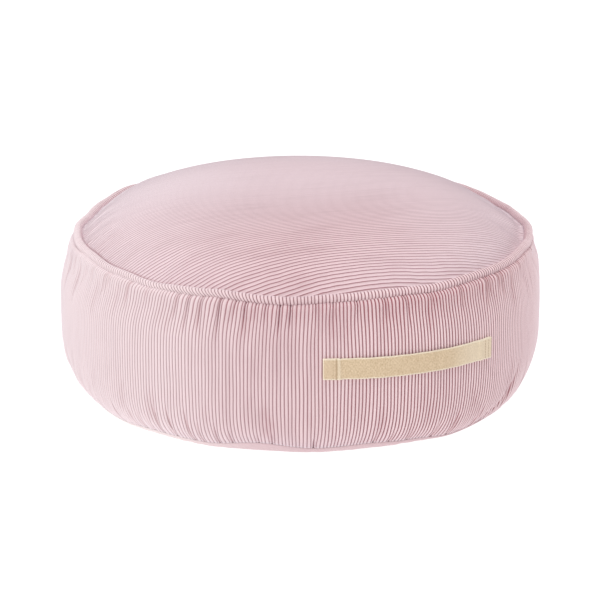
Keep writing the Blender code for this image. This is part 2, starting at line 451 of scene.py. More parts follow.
# %% [markdown]
# ## Main creases
#
# The simulation puckers the cloth evenly, but a sewn cushion has a few creases of its
# own that are deeper than the rest. They are listed in small tables and pressed in as
# grooves with a soft ridge on each side. Most of them open between two wales and follow
# them; only a few folds low on one side cut across. A crease is deepest at its seam and
# runs out with distance. It swallows cloth, so the wales next to it lean towards it.

# %% Tables of the main creases
CREASES_UNDER_PIPING = (
    # direction, turn over its length, then length, half width and depth in millimetres
    (-95, 0, 26, 2, 1), (-88.6, 0, 26, 1.7, 1.4), (-82, -0.3, 34, 1.9, 2.2),
    (-80, -0.3, 26, 1.7, 1.4), (-73, 0, 36, 2, 2.8), (-71.5, 0, 24, 1.7, 1.2),
    (-66.8, 0, 28, 1.7, 1.4), (-57.7, 0, 36, 1.7, 2.8), (-54.2, 0, 50, 1.8, 3.6),
    (-51.2, 0, 42, 1.7, 2.6), (-47.1, 0, 32, 1.6, 2.4), (-46, 0, 52, 1.8, 3.8),
    (-43, 0, 30, 1.6, 2), (-40.6, 0, 40, 1.8, 3), (-37.7, 0, 26, 1.6, 1.6), (-35.1, 0, 28, 1.6, 2),
    (-31.8, 0, 42, 1.8, 3.4), (-29.3, 0, 34, 1.7, 3.4), (-24, 0, 26, 1.6, 1.4),
    (-19.2, 0, 26, 1.6, 1.4), (-14, 0, 30, 1.6, 2), (-6.8, 0, 28, 1.6, 1.6),
    (-2.4, 0.8, 42, 1.8, 2.4), (5, 0.3, 26, 1.6, 1.6), (13.4, 0, 36, 1.8, 3.2),
    (22.2, 0, 38, 1.9, 5), (24, 0, 26, 1.6, 2.2), (26.6, 0, 32, 1.8, 4), (28.6, 0, 38, 1.9, 5),
    (32.8, 0, 30, 1.9, 3.2), (37.9, 0, 28, 2.1, 3), (43.5, 0.2, 22, 2.1, 1.6), (51, 0, 28, 2.1, 5),
    (58, 0.3, 30, 2.4, 2.8),
)
CREASES_ABOVE_BASE = (
    # direction, turn over its length, then length, half width and depth in millimetres
    (-96, 0.3, 28, 2.2, 1.4), (-84, -0.4, 32, 1.9, 1.6), (-77.1, -0.6, 38, 1.9, 2),
    (-71.3, -0.3, 36, 1.8, 2.6), (-68.2, 0, 36, 1.8, 2.4), (-66.3, 0, 32, 1.6, 2),
    (-62.7, -0.3, 46, 1.9, 4.2), (-59.6, 0, 28, 1.6, 1.8), (-58.4, -0.6, 50, 1.9, 4.2),
    (-54, -0.6, 50, 1.8, 3.2), (-51.2, -0.2, 38, 1.6, 2.6), (-47, 0, 36, 1.7, 2.8),
    (-43.4, 0, 28, 1.6, 1.8), (-37, 0, 20, 1.8, 1), (-33.6, 0, 24, 1.6, 1.4), (-24, 0, 26, 1.7, 2),
    (-8.8, 0.2, 24, 1.6, 1.8), (-4.4, 0.2, 26, 1.7, 2), (0.4, 0.2, 24, 1.6, 1.8),
    (6.7, 0.3, 32, 1.8, 2.8), (7.9, 0.3, 28, 1.6, 2), (11.7, 0.5, 36, 1.9, 4),
    (13, 0.5, 34, 1.7, 2.6), (20.2, 1.6, 34, 2.4, 2.6), (22.5, 4, 30, 3.6, 2.4),
    (24.8, 7.6, 48, 4.2, 3), (30, 5.4, 66, 4.6, 3.6), (40.4, 1.2, 44, 3.4, 3),
    (48, 0.9, 32, 3, 2.2), (58, 0.6, 30, 3.2, 2),
)
CREASES_ON_CROWN = (
    # direction, turn over its length, then length, half width and depth in millimetres
    (-109.5, 2, 46, 4.4, 0.9), (-101.5, 5, 44, 4, 1.1), (-92, 2, 20, 3, 1.2), (-60.5, -1, 14, 3, 1),
    (-22, 1, 16, 3.2, 0.8), (24, 0.5, 14, 3, 0.8), (47, 0.8, 13, 2.8, 1.2),
    (53.3, 0.4, 14, 2.6, 1.4), (58.6, 0.8, 20, 2.8, 1.7), (66, 0.8, 20, 3, 1.4),
)
HAND_FROM, HAND_TO = -92, 62


def pressed(creases, direction, radius, distance):
    """Depth of the main creases, and how far they draw the wales sideways, in degrees."""
    depth = np.zeros(np.broadcast_shapes(direction.shape, distance.shape))
    drawn = np.zeros(depth.shape)
    for middle, turn, *sizes in creases:
        length, width, most = (size / 1000 for size in sizes)
        part = np.clip(distance / length, 0, 1)
        fade = eased(1 - part) ** 0.55 * (0.78 + 0.22 * eased(distance / 0.005))
        off = np.mod(direction - middle - turn * part + 180, 360) - 180
        across = np.radians(off) * radius / width
        groove = np.exp(-1.2 * across**2) - 0.12 * bell(np.abs(across) - 2.1, 0.9)
        depth = depth - most * fade * groove
        pull = 0.3 * most * fade * across * bell(across, 3.4)
        drawn = drawn - np.degrees(pull / radius)
    return depth, drawn


def by_hand(direction):
    """How fully the listed creases, and not the simulated ones, shape a direction."""
    off = np.mod(direction + 180, 360) - 180
    return eased((off - HAND_FROM + 8) / 16) * eased((HAND_TO - off + 8) / 16)


print(len(CREASES_UNDER_PIPING) + len(CREASES_ABOVE_BASE) + len(CREASES_ON_CROWN), "main creases")

# %% [markdown]
# ## Cloth with real wales
#
# A wale could be painted as a stripe or faked with bump, but from the side a rib that
# isn't there shows at once. So each wale is modelled: five columns of points from groove
# to groove, low at the groove and level across the top. The columns of a panel form one
# regular grid, which also gives the UV map: U counts wales and V is the length along them
# in wale widths, so pile and shading can follow the cloth however it bends.

# %% Wales and mesh helpers
WALE = 0.00405
COLUMNS = np.array([0.07, 0.27, 0.5, 0.73, 0.93])
PROFILE = np.array([0.0, 0.8, 1.0, 0.8, 0.0])
RIB = 0.0011
PROUD = 0.00022
chance = np.random.default_rng(27)


def wale_lines(count, loose):
    """Position of each column in wales, with wales a little uneven in width, and its height."""
    widths = 1 + loose * chance.standard_normal(count)
    starts = np.concatenate([[0.0], np.cumsum(widths)]) * count / widths.sum()
    line = starts[:-1, None] + np.diff(starts)[:, None] * COLUMNS[None]
    ordinal = np.arange(count)[:, None] + COLUMNS[None]
    return line.ravel(), ordinal.ravel(), np.tile(PROFILE, count)


def rows_along(length, fine, coarse, reach):
    """Distances along a length, close together near both ends, where the cloth puckers."""
    place = np.linspace(0, length, 3000)
    from_end = np.minimum(place, length - place)
    spacing = fine + (coarse - fine) * eased((from_end - reach) / reach)
    count = np.concatenate([[0.0], np.cumsum(np.diff(place) / spacing[1:])])
    return np.interp(np.linspace(0, count[-1], round(count[-1]) + 1), count, place)


def make_piece(name, points, faces, corners, painted_shade=None):
    """A mesh object from points and faces, with the cloth's UV map and how much shade is painted on
    it.
    """
    mesh = bpy.data.meshes.new(name)
    mesh.from_pydata(points, [], faces)
    layer = mesh.uv_layers.new(name="cloth")
    layer.uv.foreach_set("vector", np.asarray(corners, np.float32).ravel())
    if painted_shade is not None:
        shade_values = np.zeros(len(points), np.float32)
        shade_values[: len(painted_shade)] = painted_shade
        # The crease attribute holds painted shade: how much darker the cloth is painted at each point.
        crease = mesh.attributes.new("crease", "FLOAT", "POINT")
        crease.data.foreach_set("value", shade_values)
    mesh.shade_smooth()
    piece = bpy.data.objects.new(name, mesh)
    bpy.context.scene.collection.objects.link(piece)
    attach(piece, "root")
    return piece


def ring_faces(rows, columns):
    """Quads of rows of points that close on themselves, and their grid steps."""
    row, column = np.meshgrid(np.arange(rows - 1), np.arange(columns), indexing="ij")
    step = np.stack([row, row + 1, row + 1, row], -1).reshape(-1, 4)
    side = np.stack([column, column, column + 1, column + 1], -1).reshape(-1, 4)
    return step * columns + side % columns, step, side


def turned_piece(name, rows, counts, length, painted_shade=None):
    """A closed solid from rows of points round the axis, from its top middle to its bottom."""
    columns = rows[0].shape[0]
    quads, step, side = ring_faces(len(rows), columns)
    points = np.concatenate(rows)
    middles = [(0, 0, rows[0][:, 2].mean()), (0, 0, rows[-1][:, 2].mean())]
    top, bottom = len(points), len(points) + 1
    last = (len(rows) - 1) * columns
    after = (np.arange(columns) + 1) % columns
    lid = [(top, i, int(j)) for i, j in enumerate(after)]
    floor = [(bottom, last + int(j), last + i) for i, j in enumerate(after)]
    counts = np.concatenate([counts, [counts[0] + round(counts[-1] - counts[0])]])
    corners = np.stack([counts[side], np.asarray(length)[step]], -1).reshape(-1, 2)
    flat = np.repeat(counts[:-1], 3)
    lids = np.stack([flat, np.tile([0.0, 1.0, 1.0], columns)], -1)
    faces = quads.tolist() + lid + floor
    places = points.tolist() + middles
    return make_piece(name, places, faces, np.concatenate([corners, lids, lids]), painted_shade)


print("one wale is", 1000 * WALE, "mm wide and", 1000 * RIB, "mm high")

# %% [markdown]
# ## The side band
#
# The band's wales stand upright. Each row of the grid is the band's outline at one
# distance below the piping, settled to the seams. The puckers and creases push it in along
# its own normal, and the wales are added last, so they ride over every fold. A slow wave
# keeps the wales from being ruler-straight. Short tables say, for each direction, how the
# band leaves the piping, how far the seam gathers it and how much painted shade lies just
# under the piping and just over the base. Painted shade also darkens its creases.

# %% Side band
BAND_WALES = 435
FINE_ROWS, COARSE_ROWS, PUCKERED = 0.0034, 0.0090, 0.034
QUIET_HEIGHT, QUIET_REACH = 0.1125, 0.045
FULL_SHADE_DEPTH = 0.0028
WANDER, SEWN_REACH = 0.00022, 0.012
GATHER_REACH, HUG_REACH = 0.026, 0.016
SHADE_UNDER_PIPING_REACH, SHADE_OVER_BASE_REACH = 0.032, 0.014
SLACK_AT, SLACK_REACH = 0.015, 0.012
DRAWN_REACH = 0.05
INSIDE = 0.8
TURNED_IN = 0.2525
HUG = (
    # direction, angle round the piping at which the band leaves it, 0 outwards and -90 below
    (-180, -75), (-125, -70), (-106, -20), (-98, -4), (-66, -6), (-54, -26), (-40, -36), (20, -34),
    (42, -30), (56, -50), (75, -72), (110, -75), (180, -75),
)
SLACK_SHOULDER = (
    # direction, how far the band hangs back below the piping
    (-180, 0), (36, 0), (52, 0.003), (72, 0.0034), (100, 0), (180, 0),
)
GATHERED = (
    # direction, extra height of the wales just under the piping
    (-180, 0.5), (-95, 0.1), (-62, 0.2), (-48, 0.35), (-30, 0.5), (0, 0.6), (30, 0.7), (50, 0.4),
    (70, 0.5), (180, 0.5),
)
DRAWN_FORWARD = (
    # direction, how many degrees the piping draws the wales round
    (-180, 0), (-130, 0), (-100, 2), (-70, 1.7), (-45, 1), (-30, 0.5), (-12, 0), (8, -0.3),
    (30, -0.3), (60, 0), (180, 0),
)
OPEN_WALES = (
    # direction, extra height of the wales all the way down
    (-180, 0), (-50, 0), (-10, 0.06), (20, 0.08), (45, 0.04), (70, 0), (180, 0),
)
SHADE_UNDER_PIPING = (
    # direction, how much painted shade falls on the band just under the piping
    (-180, 0.1), (-95, 0), (-66, 0.08), (-30, 0.2), (0, 0.32), (22, 0.3), (40, 0.16), (60, 0),
    (180, 0.1),
)
SHADE_OVER_BASE = (
    # direction, how much painted shade falls on the band just over the base
    (-180, 0), (-70, 0), (-45, 0.1), (-25, 0.2), (-5, 0.26), (10, 0.18), (25, 0), (180, 0),
)


def wavering(direction, distance, size):
    """A slow sideways wander of the wales."""
    turn = np.radians(direction)
    wave = np.sin(11 * turn + 38 * distance + 1.3) + 0.8 * np.sin(23 * turn - 61 * distance)
    return size * (wave + 0.6 * np.sin(47 * turn + 97 * distance + 0.7))


def along_grooves(creases, grooves):
    """The same creases, each moved to the groove nearest to it."""
    moved = []
    for middle, *rest in creases:
        moved.append((grooves[np.abs(grooves - middle).argmin()], *rest))
    return moved


def ribbed_band():
    """The band as one closed solid with its wales."""
    outline = band_outline()
    along = lengths_along(outline)
    distance = rows_along(along[-1], FINE_ROWS, COARSE_ROWS, PUCKERED)[:, None]
    radius, height, across, upwards = outline_at(outline, along, distance)
    line, ordinal, profile = wale_lines(BAND_WALES, 0.035)
    direction = line[None] * 360 / BAND_WALES - 180
    from_low = along[-1] - distance
    grooves = (line[:: len(COLUMNS)] - COLUMNS[0]) * 360 / BAND_WALES - 180
    under_piping = along_grooves(CREASES_UNDER_PIPING, grooves)
    above_base = along_grooves(CREASES_ABOVE_BASE, grooves)
    upper, drawn_up = pressed(under_piping, direction, radius, distance)
    lower, drawn_low = pressed(above_base, direction, radius, from_low)
    quiet = 1 - eased(1 - np.abs(height - QUIET_HEIGHT) / QUIET_REACH)
    simulated = read_grid(*band_puckers, direction, distance) * quiet
    simulated = simulated * (0.85 - 0.55 * by_hand(direction))
    hold = eased(distance / SEWN_REACH) * eased(from_low / SEWN_REACH)
    slide = np.degrees(wavering(direction, distance, WANDER) * hold / radius)
    nearer = np.clip(1 - distance / DRAWN_REACH, 0, 1) ** 1.4
    forward = from_table(DRAWN_FORWARD, direction) * nearer
    placed = direction + drawn_up + drawn_low + slide + forward
    sunk = simulated + upper + lower
    end = np.minimum(1, 0.35 + 0.65 * eased(np.minimum(distance, from_low) / 0.003))
    relief = from_table(GATHERED, direction) * bell(distance, GATHER_REACH)
    relief = relief + from_table(OPEN_WALES, direction)
    flattened = 1 - 0.6 * np.clip(-lower / 0.003, 0, 1) * eased((placed - 20) / 4)
    rib = RIB * (profile[None] - 1) * end * (1 + relief) * flattened + PROUD
    # Painted shade: darker in the creases, by how deep the cloth is pushed in, in the grooves where
    # the wales stand taller, and just under the piping and over the base. It goes to the shader as the
    # crease attribute.
    dark = np.clip(-sunk / FULL_SHADE_DEPTH, 0, 1) + 0.4 * relief * (1 - profile[None])
    dark = dark + from_table(SHADE_UNDER_PIPING, placed) * bell(distance, SHADE_UNDER_PIPING_REACH)
    dark = dark + from_table(SHADE_OVER_BASE, placed) * bell(from_low, SHADE_OVER_BASE_REACH)
    radius, height = settled(placed, radius + 0 * placed, height + 0 * placed)
    out = sunk + rib
    hug = np.radians(from_table(HUG, direction))
    close = CORD_RADIUS + 0.0003
    fade = bell(distance, HUG_REACH)
    stand = (TOP_SEAM_RADIUS - TUCKED + close * np.cos(hug)) * fade
    rise = (TOP_SEAM_HEIGHT - CORD_DROP - BAND_TOP + close * np.sin(hug)) * fade
    slack = from_table(SLACK_SHOULDER, direction) * bell(distance - SLACK_AT, SLACK_REACH)
    stand = stand - slack
    surface = round_places(placed, radius + across * out + stand, height + upwards * out + rise)
    first, last = placed[0], placed[-1]
    seam = settled(first, np.full(first.shape, EDGE_RADIUS), np.full(first.shape, EDGE_HEIGHT - GAP))
    turned_in = settled(last, np.full(last.shape, TURNED_IN), np.full(last.shape, BAND_BOTTOM))
    inside_up = round_places(first, INSIDE * EDGE_RADIUS + 0 * first, EDGE_HEIGHT - GAP)
    inside_low = round_places(last, INSIDE * LOWER_SEAM_RADIUS + 0 * last, BAND_BOTTOM)
    upper_rows = [inside_up, round_places(first, *seam)]
    rows = [*upper_rows, *surface, round_places(last, *turned_in), inside_low]
    steps = distance[:, 0] / WALE
    length = [steps[0] - 12, steps[0] - 1, *steps, steps[-1] + 1, steps[-1] + 12]
    tucked = np.zeros((2, len(line)))
    dark = np.concatenate([tucked, dark, tucked]).ravel()
    return turned_piece("ribbed_band", rows, ordinal, length, dark)


band = ribbed_band()
print("band:", len(band.data.polygons), "faces,", BAND_WALES, "wales")

# %% [markdown]
# ## The top panel
#
# The wales of the top run straight across the disc on the cutting table, but filling the
# cushion pulls them: towards one side they swing round by up to 25 degrees. A line is
# drawn for every column of points, shifted by the swing, and cut off where it meets the
# seam. Rows are then spread along each line, closer near the seam. The edge is closed by
# a small hem that hangs down inside the seam, so the cloth turns under as a real one does.

# %% Top panel
LAY_TURN = 63.0
LAY_SLOPE = 14.5
SWING = (
    # distance towards the pulled side, extra turn of the wales in degrees
    (-0.26, -3.5), (-0.15, -2.5), (-0.08, -0.8), (0, 0), (0.05, 1.2), (0.08, 4.3), (0.11, 7.4),
    (0.135, 10), (0.155, 14), (0.185, 20.5), (0.21, 24), (0.26, 25),
)
CROWN_ROWS = 112
CLOSE_TO_PIPING = 0.0010
HEM_DROP = 0.0016
SOFT_EDGE = 0.0012
RIM_SHADE_MIDDLE, RIM_SHADE_REACH = -86, 28
SHADE_NEAR, SHADE_NEAR_REACH = -27, 0.07
PUCKERS_FROM, PUCKERS_GROW = 0.205, 0.035
DRAWN_IN = (
    # direction, how far inside the seam the crown starts to rise
    (-180, 0.0015), (-140, 0.0015), (-116, 0.003), (-105, 0), (-96, -0.0032), (-62, -0.0032),
    (-40, -0.0012), (0, 0), (36, 0.001), (50, 0.004), (60, 0.0058), (84, 0.0054), (104, 0.002),
    (130, 0.0008), (180, 0.0015),
)


def swing_line():
    """How far a wale has drifted sideways at each distance towards the pulled side."""
    place = np.linspace(-TOP_SEAM_RADIUS, TOP_SEAM_RADIUS, 2097)
    table = np.array(SWING)
    slope = np.tan(np.radians(LAY_SLOPE + np.interp(place, table[:, 0], table[:, 1])))
    soft = np.convolve(np.pad(slope, 60, mode="edge"), np.ones(121) / 121, mode="valid")
    drift = np.concatenate([[0.0], np.cumsum((soft[1:] + soft[:-1]) / 2 * np.diff(place))])
    return place, drift - np.interp(0.0, place, drift)


def crown_lines():
    """Start and end of every column of the top panel, and the wale it belongs to."""
    place, drift = swing_line()
    inside = np.abs(place) < EDGE_RADIUS
    reach = np.sqrt(EDGE_RADIUS**2 - place[inside] ** 2)
    lowest = (-reach - drift[inside]).min()
    highest = (reach - drift[inside]).max()
    pitch = WALE / math.cos(math.radians(LAY_SLOPE))
    count = int((highest - lowest) / pitch)
    line, ordinal, profile = wale_lines(count, 0.03)
    spare = (highest - lowest) - count * pitch
    offset = lowest + 0.5 * spare + 0.00025 + line * pitch
    starts, ends = [], []
    for shift in offset:
        gap = EDGE_RADIUS - np.hypot(place, drift + shift)
        within = np.nonzero(gap > 0)[0]
        low, high = within[0], within[-1]
        starts.append(np.interp(0, [gap[low - 1], gap[low]], [place[low - 1], place[low]]))
        ends.append(np.interp(0, [gap[high + 1], gap[high]], [place[high + 1], place[high]]))
    return offset, np.array(starts), np.array(ends), ordinal, profile


def ribbed_crown():
    """The top panel as one closed solid with its wales."""
    offset, start, end, ordinal, profile = crown_lines()
    part = np.linspace(0, 1, CROWN_ROWS + 1)
    part = 0.5 * part + 0.5 * (0.5 - 0.5 * np.cos(math.pi * part))
    right = start[:, None] + (end - start)[:, None] * part[None]
    away = np.interp(right, *swing_line()) + offset[:, None]
    radius = np.minimum(np.hypot(right, away), EDGE_RADIUS)
    direction = np.degrees(np.arctan2(away, right)) + LAY_TURN
    outline = crown_outline()
    rising = EDGE_RADIUS - from_table(DRAWN_IN, direction)
    counted = radius * EDGE_RADIUS / rising
    counted = EDGE_RADIUS - SOFT_EDGE * np.log1p(np.exp((EDGE_RADIUS - counted) / SOFT_EDGE))
    counted = np.maximum(counted, 0)
    height, *inwards = outline_at(outline, outline[:, 0], counted)[1:]
    across, upwards = (-part for part in inwards)
    along = lengths_along(outline)
    distance = along[-1] - np.interp(radius, outline[:, 0], along)
    depth, drawn = pressed(CREASES_ON_CROWN, direction, np.maximum(radius, 0.05), distance)
    from_read = along[-1] - distance - along[CROWN_READ_FROM]
    outer = eased((radius - PUCKERS_FROM) / PUCKERS_GROW)
    simulated = read_grid(*crown_puckers, direction, from_read) * outer
    simulated = simulated * (0.45 - 0.2 * by_hand(direction))
    step = np.diff(right, axis=1), np.diff(away, axis=1)
    length = np.concatenate([np.zeros((len(offset), 1)), np.cumsum(np.hypot(*step), axis=1)], 1)
    length = length + (start + TOP_SEAM_RADIUS)[:, None]
    edge = 0.25 + 0.75 * eased(distance / 0.004)
    radius = radius + CLOSE_TO_PIPING * (1 - eased(distance / 0.008))
    out = depth + simulated + RIB * (profile[:, None] - 1) * edge + PROUD
    placed = direction + drawn * eased(radius / 0.15)
    settled_radius, settled_height = settled(placed, radius, height)
    grid = round_places(placed, settled_radius + across * out, settled_height + upwards * out)
    lines, rows = radius.shape
    index = np.arange(lines * rows).reshape(lines, rows)
    quads = np.stack([index[:-1, :-1], index[:-1, 1:], index[1:, 1:], index[1:, :-1]], -1)
    loop = np.concatenate([index[0], index[1:, -1], index[-1, -2::-1], index[-2:0:-1, 0]])
    points = grid.reshape(-1, 3)
    rim_points = points[loop]
    hem = rim_points * [0.998, 0.998, 1] - [0, 0, HEM_DROP]
    inner = rim_points * [INSIDE, INSIDE, 0] + [0, 0, EDGE_HEIGHT - HEM_DROP]
    first = len(points)
    low = first + len(loop)
    here = np.arange(len(loop))
    after = np.roll(here, -1)
    turned = np.stack([loop[after], loop, first + here, first + after], -1)
    ring = np.stack([first + after, first + here, low + here, low + after], -1)
    middle = low + len(loop)
    fan = np.stack([middle + 0 * here, low + after, low + here], -1)
    centre = (0.0, 0.0, EDGE_HEIGHT - HEM_DROP)
    places = points.tolist() + hem.tolist() + inner.tolist() + [centre]
    uv = np.stack([ordinal[:, None] + 0 * length, length / WALE], -1).reshape(-1, 2)
    under = np.concatenate([uv, uv[loop], uv[loop], [[0.0, 0.0]]])
    groups = (quads.reshape(-1, 4), turned, ring, fan)
    faces = [face for group in groups for face in group.tolist()]
    corners = np.concatenate([under[group.ravel()] for group in groups])
    # Painted shade: darker in the creases, at the rim where the crown turns down beside the piping,
    # most of all on the left, and a little over the near side of the top.
    shown = eased((RIM_SHADE_REACH - np.abs(direction - RIM_SHADE_MIDDLE)) / 12)
    rim_shade = 0.4 + 0.6 * shown
    dark = np.clip(-(depth + simulated) / 0.004, 0, 1) + rim_shade * (1 - eased(distance / 0.003))
    near_side_share = eased(0.5 + np.cos(np.radians(direction - SHADE_NEAR)))
    dark = dark + 0.2 * near_side_share * bell(distance, SHADE_NEAR_REACH)
    return make_piece("ribbed_top", places, faces, corners, dark.ravel()), ordinal


crown, crown_wales = ribbed_crown()
print("top:", len(crown.data.polygons), "faces,", round(crown_wales[-1]), "wales")

# %% [markdown]
# ## The piping
#
# Piping is a cord wrapped in a strip of the same corduroy, so its wales cross the cord and
# are a bit closer together than on the band. Where the strip was stretched on the bias
# they lean. One round section is carried along the top seam, and the lean shifts the
# underside of the cord ahead of its top. Shade is painted on its underside, where the band
# meets it, and on its inner side, where the crown leans over it, most of all on the near side.

# %% Piping
PIPING_WALES = 424
PIPING_SIDES = 14
PIPING_RIB = 0.00095
LEAN = (
    # direction, how far the outside is ahead of the top
    (-180, 0.0008), (-140, -0.0012), (-110, 0.0005), (-80, 0.0046), (-55, 0.005), (-45, 0.0036),
    (-36, 0.0014), (-24, 0), (0, 0.0002), (35, 0.0008), (60, -0.0006), (90, -0.002), (125, 0.0012),
    (180, 0.0008),
)
PIPING_INNER_SHADE = (
    # direction, how much painted shade falls on the piping's inner side, where the crown leans over it
    (-180, 0.4), (-128, 0.4), (-106, 0.9), (48, 0.9), (72, 0.4), (180, 0.4),
)


def covered_cord():
    """The piping as a closed ring."""
    line, ordinal, profile = wale_lines(PIPING_WALES, 0.05)
    turn = 2 * math.pi * np.arange(PIPING_SIDES) / PIPING_SIDES
    direction = line[None] * 360 / PIPING_WALES - 180
    table = np.array(LEAN)
    lean = np.interp(direction, table[:, 0], table[:, 1]) * (1 - np.sin(turn))[:, None]
    placed = direction + np.degrees(lean / TOP_SEAM_RADIUS)
    swell = 0.00012 * np.sin(np.radians(direction) * 31) + 0.00008 * np.sin(np.radians(direction) * 53)
    worn = (0.55 + 0.45 * np.cos(turn))[:, None]
    thick = CORD_RADIUS + swell + PIPING_RIB * (profile[None] - 1) * worn
    radius = top_radius(placed) + thick * np.cos(turn)[:, None]
    height = top_height(placed) - CORD_DROP + thick * np.sin(turn)[:, None]
    points = round_places(placed, radius, height)
    columns = len(line)
    rows = np.arange(PIPING_SIDES + 1)
    quads, step, side = ring_faces(PIPING_SIDES + 1, columns)
    quads = quads % (PIPING_SIDES * columns)
    counts = np.concatenate([ordinal, [PIPING_WALES]])
    lengths = rows * 2 * math.pi * PIPING_RADIUS / PIPING_SIDES / WALE
    corners = np.stack([counts[side], lengths[step]], -1)
    # Painted shade on the inner side and the underside of the cord, in the crevices beside the crown
    # and the band.
    inner = np.clip((-np.cos(turn) - 0.3) / 0.5, 0, 1)
    under = np.clip((-np.sin(turn) - 0.6) / 0.3, 0, 1)
    inner_shade_share = from_table(PIPING_INNER_SHADE, direction)
    dark = np.maximum(inner_shade_share * inner[:, None], 0.7 * under[:, None]).ravel()
    places = points.reshape(-1, 3).tolist()
    return make_piece("covered_piping", places, quads[:, ::-1].tolist(), corners[:, ::-1], dark)


piping = covered_cord()
print("piping:", len(piping.data.polygons), "faces")

# %% [markdown]
# ## The base panel
#
# The base is a plain cloth that rolls in under the cushion to the flat it stands on. It
# has no wales, only faint gathers at its seam, so a turned grid of its outline is enough.

# %% Base panel
BASE_COLUMNS, BASE_ROWS = 540, 15
FOOT = (
    # direction, radius at which the base comes to the floor
    (-180, 0.215), (-120, 0.208), (-85, 0.21), (-45, 0.219), (-5, 0.219), (15, 0.208), (32, 0.2),
    (62, 0.195), (110, 0.21), (180, 0.215),
)


def plain_base():
    """The base panel as one closed solid."""
    outline = base_outline()
    along = lengths_along(outline)
    distance = np.linspace(0, 1, BASE_ROWS)[:, None] ** 1.2 * along[-1]
    direction = np.arange(BASE_COLUMNS)[None] * 360 / BASE_COLUMNS - 180
    radius, height, across, upwards = outline_at(outline, along, distance)
    height = height + 0.0002 * (distance == 0) + 0 * direction
    share = (LOWER_SEAM_RADIUS - from_table(FOOT, direction)) / (LOWER_SEAM_RADIUS - FOOT_RADIUS)
    radius = LOWER_SEAM_RADIUS - (LOWER_SEAM_RADIUS - radius) * share
    gathers = read_grid(*band_puckers, direction, band_puckers[0][-1] - distance * 0.6 - 0.004)
    fade = eased(1 - distance / 0.026)
    radius, height = settled(direction, radius, height)
    out = 0.5 * gathers * fade * eased(distance / 0.004)
    height = np.maximum(height + upwards * out, 0)
    surface = round_places(direction, radius + across * out, height)
    flat = np.full(direction.shape[1], 1.0)
    around = direction[0]
    lid = round_places(around, INSIDE * LOWER_SEAM_RADIUS * flat, LOWER_SEAM_HEIGHT)
    foot = round_places(around, 0.5 * FOOT_RADIUS * flat, 0.0)
    counts = np.arange(BASE_COLUMNS) * BAND_WALES / BASE_COLUMNS
    steps = distance[:, 0] / WALE
    return turned_piece("plain_base", [lid, *surface, foot], counts, [-12, *steps, steps[-1] + 27])


base = plain_base()
print("base:", len(base.data.polygons), "faces")

# %% [markdown]
# ## The carry handle
#
# The handle is a length of cotton webbing with both ends turned under and sewn through
# twice. It is one ribbon that is followed from its hidden end, round the fold, along
# the front and round the other fold, so the doubled ends come out thicker by themselves.
# Solidify gives the webbing its thickness, and the stitches pull it in a little.

# %% Handle ribbon
STRAP_WIDTH = 0.0236
STRAP_THICK = 0.0015
STRAP_SPAN = 43.0
STRAP_MIDDLE = -0.4
STRAP_HEIGHT = 0.1125
STRAP_DROP = 0.006
HEM = 0.0175
SLACK = 0.0014
strap_length = BAND_RADIUS * math.radians(STRAP_SPAN)
half_strap = 0.5 * strap_length
STITCH_ROWS = (
    -half_strap + 0.0103,
    -half_strap + 0.0145,
    half_strap - 0.0102,
    half_strap - 0.0048,
)
DIMPLE, DIMPLE_REACH = 0.0004, 0.0009
band_line = band_outline()[::-1]


def strap_place(along, across, clear):
    """A place this far along and across the handle from its middle and this clear of the band."""
    direction = np.degrees(along / BAND_RADIUS) + STRAP_MIDDLE
    height = STRAP_HEIGHT - STRAP_DROP * along / strap_length + across
    radius = np.interp(height, band_line[:, 1], band_line[:, 0]) + 0 * along
    radius, height = settled(direction, radius, height)
    return round_places(direction, radius + clear, height)


def dimple(place):
    """How far the thread pulls the webbing in at a place along it."""
    return DIMPLE * sum(bell(place - row, DIMPLE_REACH) for row in STITCH_ROWS)


def ribbon_path():
    """Distance along and clearance of the webbing's middle, from one hidden end to the other."""
    under = GAP + 0.5 * STRAP_THICK
    over = GAP + 1.5 * STRAP_THICK
    half = half_strap
    fold = 0.5 * STRAP_THICK
    path = [(-half + HEM - 0.0012 * step, under) for step in range(14)]
    for step in range(5):
        turn = math.pi * step / 4
        path.append((-half + fold * (1 - math.sin(turn)), under + fold * (1 - math.cos(turn))))
    for place in np.arange(-half + 0.0016, 0, 0.0016):
        doubled = 1 - eased((place + half - HEM - 0.0004) / 0.0034)
        free = eased((place + half - HEM) / (half - HEM) * 2)
        single = under + SLACK * free
        path.append((place, single + (over - single) * doubled - dimple(place)))
    path = np.array(path)
    return path, path[::-1] * [-1, 1]


